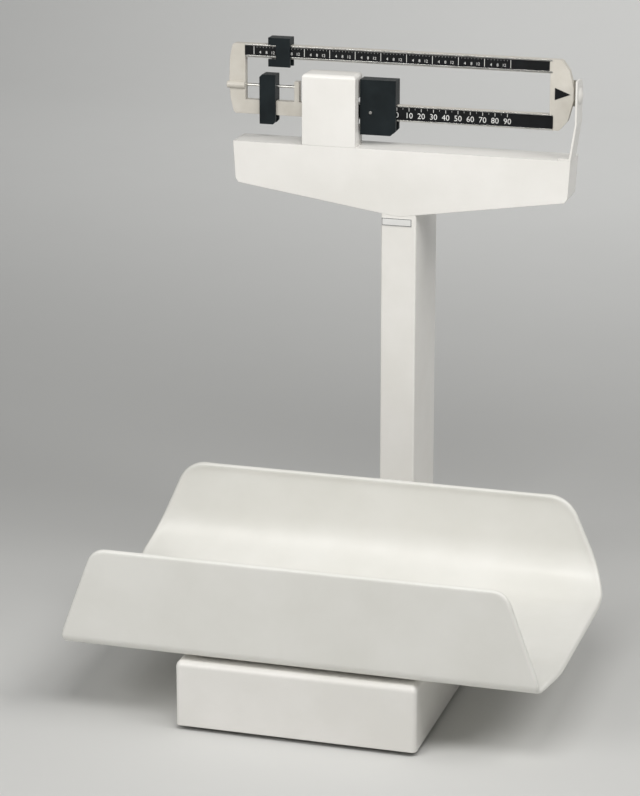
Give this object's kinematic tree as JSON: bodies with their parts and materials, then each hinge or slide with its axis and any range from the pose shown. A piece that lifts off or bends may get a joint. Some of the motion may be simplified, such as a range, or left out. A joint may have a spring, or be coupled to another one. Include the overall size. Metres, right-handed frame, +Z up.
{
  "type": "paediatric beam scale",
  "caption": "Bench-top paediatric beam scale: a deep open-ended tray on a low base, with a column behind it that carries a weigh beam with sliding poises.",
  "frame": {"origin": "centre of the scale's footprint, on the surface that the feet stand on", "axes": "+Z up, +X to the right as the reader faces the beam, +Y from the tray towards the column"},
  "size_m": [0.628, 0.59, 0.78],
  "materials": {
    "white_enamel": "satin baked enamel",
    "tray_shell": "smooth moulded",
    "beam_metal": "satin die casting",
    "black_iron": "satin black enamel",
    "scale_strip": "black with white graduations",
    "plate_metal": "printed plate with black border",
    "bright_steel": "bright plated",
    "pivot_steel": "ground",
    "cast_iron": "painted casting",
    "plated_steel": "zinc plated",
    "rubber": "matt"
  },
  "bodies": {
    "base": {"base_cover": "white_enamel", "base_pan": "plated_steel", "rubber_feet": "rubber", "foot_screws": "bright_steel", "cover_screws": "bright_steel", "front_stands": "cast_iron", "front_bearings": "pivot_steel", "rear_stands": "cast_iron", "rear_bearings": "pivot_steel", "column_flange": "white_enamel", "flange_bolts": "bright_steel", "column": "white_enamel", "column_cap": "white_enamel", "name_plate": "plate_metal", "head_panel": "white_enamel", "head_shelf": "white_enamel", "head_back_cover": "white_enamel", "head_screws": "bright_steel", "head_lever_hanger": "plated_steel", "fulcrum_cover": "white_enamel", "fulcrum_stand": "cast_iron", "fulcrum_bearings": "pivot_steel", "trig_plate": "white_enamel", "trig_bump": "white_enamel", "trig_stop": "plated_steel"},
    "platform": {"tray": "tray_shell", "tray_cradle": "plated_steel", "cradle_posts": "bright_steel", "platform_spider": "cast_iron", "front_platform_bearings": "pivot_steel", "rear_platform_bearings": "pivot_steel"},
    "long_lever": {"long_lever": "cast_iron", "long_lever_knives": "pivot_steel", "meeting_bearing": "pivot_steel"},
    "short_lever": {"short_lever": "cast_iron", "short_lever_knives": "pivot_steel"},
    "steelyard": {"steelyard_rod": "plated_steel", "lower_stirrup": "plated_steel", "upper_yoke": "plated_steel"},
    "head_lever": {"head_lever": "cast_iron", "head_lever_knives": "pivot_steel"},
    "beam_link": {"beam_link": "plated_steel"},
    "beam": {"beam_casting": "beam_metal", "upper_scale_strip": "scale_strip", "lower_scale_strip": "scale_strip", "pointer_arrow": "scale_strip", "beam_fulcrum_knives": "pivot_steel", "beam_load_knives": "pivot_steel", "beam_stop_pin": "bright_steel", "balance_rod": "bright_steel", "rod_bush": "beam_metal"},
    "main_poise": {"main_poise": "black_iron", "main_poise_keeper": "bright_steel", "main_poise_pin": "bright_steel"},
    "fractional_poise": {"fractional_poise": "black_iron", "fractional_poise_keeper": "bright_steel"},
    "balance_weight": {"balance_weight": "black_iron"}
  },
  "joints": [
    {"name": "beam_tilt", "type": "hinge", "parent": "base", "child": "beam", "pos_m": [-0.078, 0.2046, 0.706], "axis": [0, -1, 0], "range_deg": [-1.5, 1.5]},
    {"name": "platform_lift", "type": "slide", "parent": "base", "child": "platform", "axis": [0, 0, 1], "range_m": [-0.00006594, 0.00006594]},
    {"name": "long_lever_tilt", "type": "hinge", "parent": "base", "child": "long_lever", "pos_m": [0, -0.262, 0.05], "axis": [-1, 0, 0], "range_deg": [-0.055557, 0.055557]},
    {"name": "short_lever_tilt", "type": "hinge", "parent": "base", "child": "short_lever", "pos_m": [0, 0.058, 0.067], "axis": [1, 0, 0], "range_deg": [-0.055557, 0.055557]},
    {"name": "steelyard_travel", "type": "slide", "parent": "base", "child": "steelyard", "axis": [0, 0, 1], "range_m": [-0.00045244, 0.00045244]},
    {"name": "head_lever_tilt", "type": "hinge", "parent": "base", "child": "head_lever", "pos_m": [0.11, 0.2046, 0.606], "axis": [0, -1, 0], "range_deg": [-0.23566, 0.23566]},
    {"name": "link_travel", "type": "slide", "parent": "base", "child": "beam_link", "axis": [0, 0, 1], "range_m": [-0.00092, 0.00092]},
    {"name": "main_poise_slide", "type": "slide", "parent": "beam", "child": "main_poise", "axis": [1, 0, 0], "range_m": [0, 0.15]},
    {"name": "fractional_poise_slide", "type": "slide", "parent": "beam", "child": "fractional_poise", "axis": [1, 0, 0], "range_m": [-0.031, 0.33]},
    {"name": "balance_weight_slide", "type": "slide", "parent": "beam", "child": "balance_weight", "axis": [1, 0, 0], "range_m": [-0.012, 0.012]}
  ],
  "couplings": [
    {"joint": "platform_lift", "follows": "beam_tilt", "m_per_rad": -0.0025161},
    {"joint": "long_lever_tilt", "follows": "beam_tilt", "ratio": 0.037001},
    {"joint": "short_lever_tilt", "follows": "beam_tilt", "ratio": 0.037001},
    {"joint": "steelyard_travel", "follows": "beam_tilt", "m_per_rad": -0.017265},
    {"joint": "head_lever_tilt", "follows": "beam_tilt", "ratio": 0.15695},
    {"joint": "link_travel", "follows": "beam_tilt", "m_per_rad": -0.035}
  ]
}
